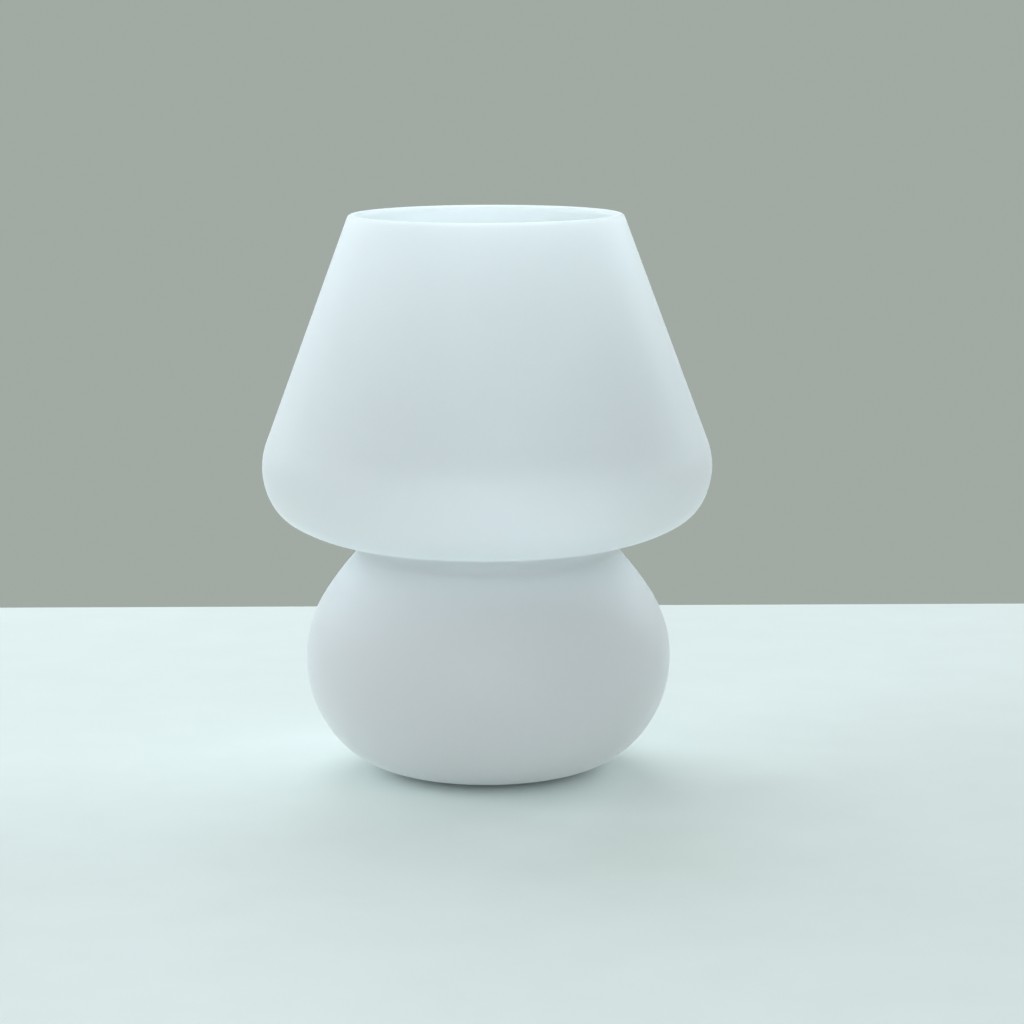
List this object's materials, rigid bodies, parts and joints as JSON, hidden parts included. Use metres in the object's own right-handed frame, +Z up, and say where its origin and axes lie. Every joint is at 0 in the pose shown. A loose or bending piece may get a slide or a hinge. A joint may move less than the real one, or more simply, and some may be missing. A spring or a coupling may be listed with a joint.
{
  "type": "mushroom table lamp",
  "caption": "Satin opal glass table lamp blown in one piece: open-topped mushroom shade on a round base, with a lampholder and bulb inside.",
  "frame": {"origin": "on the table below the lamp's axis, at the underside of the foot pads", "axes": "+Z up along the glass's axis, +Y to the rear where the cord enters, +X to the right seen from the front"},
  "size_m": [0.19, 0.19, 0.237],
  "materials": {
    "opal_glass": "satin, acid-etched opal white",
    "clear_silicone": "soft translucent",
    "clear_pvc": "translucent white, moulded",
    "black_rubber": "matt, moulded",
    "zinc_steel": "bright zinc plate",
    "brass": "turned, plain",
    "bronze": "rolled spring strip",
    "white_thermoplastic": "moulded, light gloss",
    "ceramic_insert": "unglazed steatite",
    "nickel_cap": "nickel-plated sheet, threaded",
    "black_insulator": "black vitrified insulator",
    "solder_tip": "tinned",
    "bulb_housing_white": "moulded, fine satin",
    "bulb_diffuser_opal": "opal, frosted",
    "led_board_white": "white board with yellow emitters"
  },
  "bodies": {
    "lamp": {"glass_body": "opal_glass", "foot_pad_1": "clear_silicone", "foot_pad_2": "clear_silicone", "foot_pad_3": "clear_silicone", "foot_pad_4": "clear_silicone", "cord_grommet": "clear_pvc", "lower_gasket": "black_rubber", "upper_gasket": "black_rubber", "clamp_plate": "zinc_steel", "spring_washer": "zinc_steel", "lower_nut": "zinc_steel", "upper_nut": "zinc_steel", "seat_dish": "zinc_steel", "stem_tube": "zinc_steel", "short_nipple": "zinc_steel", "cord_coupler": "zinc_steel", "coupler_bush": "white_thermoplastic", "holder_cap": "white_thermoplastic", "holder_shell": "white_thermoplastic", "holder_insert": "ceramic_insert", "terminal_blocks": "brass", "terminal_screws": "zinc_steel", "screw_shell": "brass", "centre_contact": "bronze"},
    "bulb_rise": {"bulb_tip": "solder_tip"},
    "bulb": {"bulb_insulator": "black_insulator", "bulb_cap": "nickel_cap", "bulb_housing": "bulb_housing_white", "bulb_led_board": "led_board_white", "bulb_diffuser": "bulb_diffuser_opal"}
  },
  "joints": [
    {"name": "bulb_lift", "type": "slide", "parent": "lamp", "child": "bulb_rise", "axis": [0, 0, 1], "range_m": [0, 0.01634]},
    {"name": "bulb_turn", "type": "hinge", "parent": "bulb_rise", "child": "bulb", "pos_m": [0, 0, 0.08], "axis": [0, 0, 1], "range_deg": [0, 1620]}
  ],
  "couplings": [
    {"joint": "bulb_lift", "follows": "bulb_turn", "m_per_rad": 0.00057757}
  ]
}
